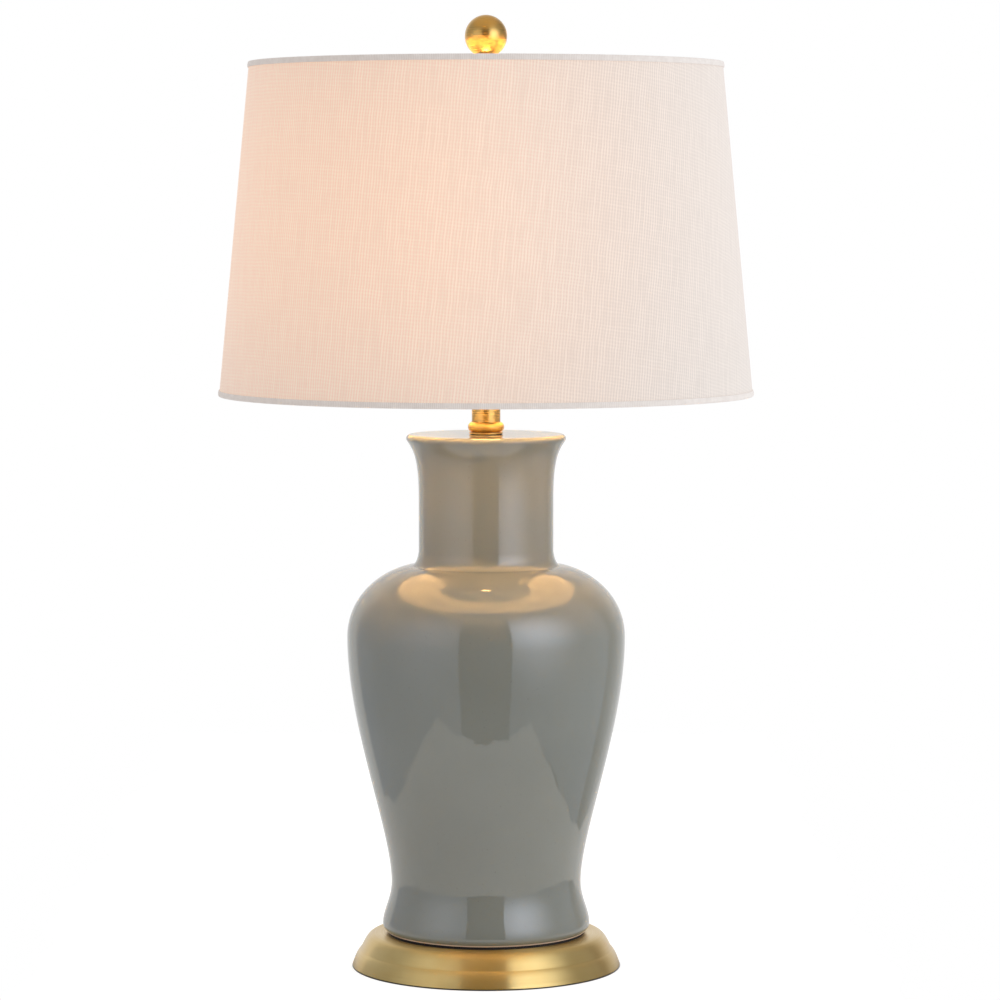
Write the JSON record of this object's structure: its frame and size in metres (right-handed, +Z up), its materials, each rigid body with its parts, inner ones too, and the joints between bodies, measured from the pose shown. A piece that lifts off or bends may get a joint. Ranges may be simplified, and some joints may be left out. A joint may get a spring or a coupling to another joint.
{
  "type": "urn table lamp",
  "caption": "Table lamp with a glazed ceramic urn on a stepped brass foot, a wire harp, a linen drum shade and a ball finial.",
  "frame": {"origin": "centre of the felt's underside, where the lamp's axis meets the table", "axes": "+Z up along the lamp's axis; the switch knob points to the front at -Y, the cord's bushing is in the back of the foot at +Y, and the harp's legs stand at -X and +X"},
  "size_m": [0.4062, 0.4062, 0.7248],
  "materials": {
    "felt": "pressed felt",
    "satin_brass": "satin, lacquered",
    "bare_brass": "turned",
    "cast_iron": "rough",
    "black_plastic": "moulded",
    "zinc_steel": "zinc plated",
    "black_rubber": "matt",
    "grey_glaze": "glossy clear glaze over grey",
    "fibre_board": "vulcanised fibre",
    "bare_aluminium": "rolled",
    "solder": "soldered tip",
    "nickel": "nickel plated",
    "white_plastic": "moulded",
    "led_white": "printed circuit with lit diodes",
    "opal_globe": "opal, lit",
    "white_enamel": "white enamel",
    "styrene_liner": "smooth matt",
    "linen": "plain weave linen",
    "edge_tape": "folded edge tape"
  },
  "bodies": {
    "lamp": {"felt_pad": "felt", "brass_foot": "satin_brass", "iron_weight": "cast_iron", "cord_bushing": "black_plastic", "foot_washer": "zinc_steel", "foot_nut": "zinc_steel", "lamp_pipe": "zinc_steel", "urn_pad": "black_rubber", "urn_body": "grey_glaze", "soft_washer": "black_rubber", "check_ring": "satin_brass", "neck_collar": "satin_brass", "neck_tube": "satin_brass", "harp_saddle": "satin_brass", "saddle_nut": "zinc_steel", "socket_cap": "satin_brass", "cap_screw": "zinc_steel", "socket_shell": "satin_brass", "fibre_sleeve": "fibre_board", "socket_mould": "black_plastic", "thread_shell": "bare_aluminium", "contact_tongue": "bare_brass", "live_screw": "bare_brass", "neutral_screw": "zinc_steel"},
    "switch": {"switch_spindle": "bare_brass", "switch_knob": "satin_brass"},
    "bulb_tip": {"bulb_tip": "solder"},
    "bulb": {"bulb_insulator": "black_plastic", "bulb_screw_cap": "nickel", "bulb_body": "white_plastic", "led_board": "led_white", "bulb_globe": "opal_globe"},
    "harp": {"harp_wire": "satin_brass"},
    "sleeve_left": {"lock_sleeve_left": "satin_brass"},
    "sleeve_right": {"lock_sleeve_right": "satin_brass"},
    "harp_seat": {"harp_seat": "satin_brass"},
    "shade": {"spider_hub": "white_enamel", "spider_arms": "white_enamel", "top_ring": "white_enamel", "bottom_ring": "white_enamel", "shade_liner": "styrene_liner", "shade_linen": "linen", "top_tape": "edge_tape", "bottom_tape": "edge_tape"},
    "finial_insert": {"finial_insert": "bare_brass"},
    "finial": {"finial_stem": "satin_brass", "finial_ball": "satin_brass"}
  },
  "joints": [
    {"name": "switch_turn", "type": "hinge", "parent": "lamp", "child": "switch", "pos_m": [0, -0.02, 0.4785], "axis": [0, -1, 0], "continuous": true},
    {"name": "bulb_rise", "type": "slide", "parent": "lamp", "child": "bulb_tip", "axis": [0, 0, 1], "range_m": [0, 0.01632]},
    {"name": "bulb_turn", "type": "hinge", "parent": "bulb_tip", "child": "bulb", "pos_m": [0, 0, 0.52], "axis": [0, 0, 1], "range_deg": [0, 1620]},
    {"name": "harp_lift", "type": "slide", "parent": "lamp", "child": "harp", "axis": [0, 0, 1], "range_m": [0, 0.05]},
    {"name": "sleeve_left_slide", "type": "slide", "parent": "harp", "child": "sleeve_left", "axis": [0, 0, 1], "range_m": [0, 0.012]},
    {"name": "sleeve_right_slide", "type": "slide", "parent": "harp", "child": "sleeve_right", "axis": [0, 0, 1], "range_m": [0, 0.012]},
    {"name": "seat_swivel", "type": "hinge", "parent": "harp", "child": "harp_seat", "pos_m": [0, 0, 0.675], "axis": [0, 0, 1], "continuous": true},
    {"name": "shade_lift", "type": "slide", "parent": "harp_seat", "child": "shade", "axis": [0, 0, 1], "range_m": [0, 0.25]},
    {"name": "finial_rise", "type": "slide", "parent": "shade", "child": "finial_insert", "axis": [0, 0, 1], "range_m": [0, 0.00847]},
    {"name": "finial_turn", "type": "hinge", "parent": "finial_insert", "child": "finial", "pos_m": [0, 0, 0.69], "axis": [0, 0, 1], "range_deg": [0, 3240]}
  ],
  "couplings": [
    {"joint": "bulb_turn", "follows": "bulb_rise", "rad_per_m": 1731.6},
    {"joint": "finial_turn", "follows": "finial_rise", "rad_per_m": 6679}
  ]
}
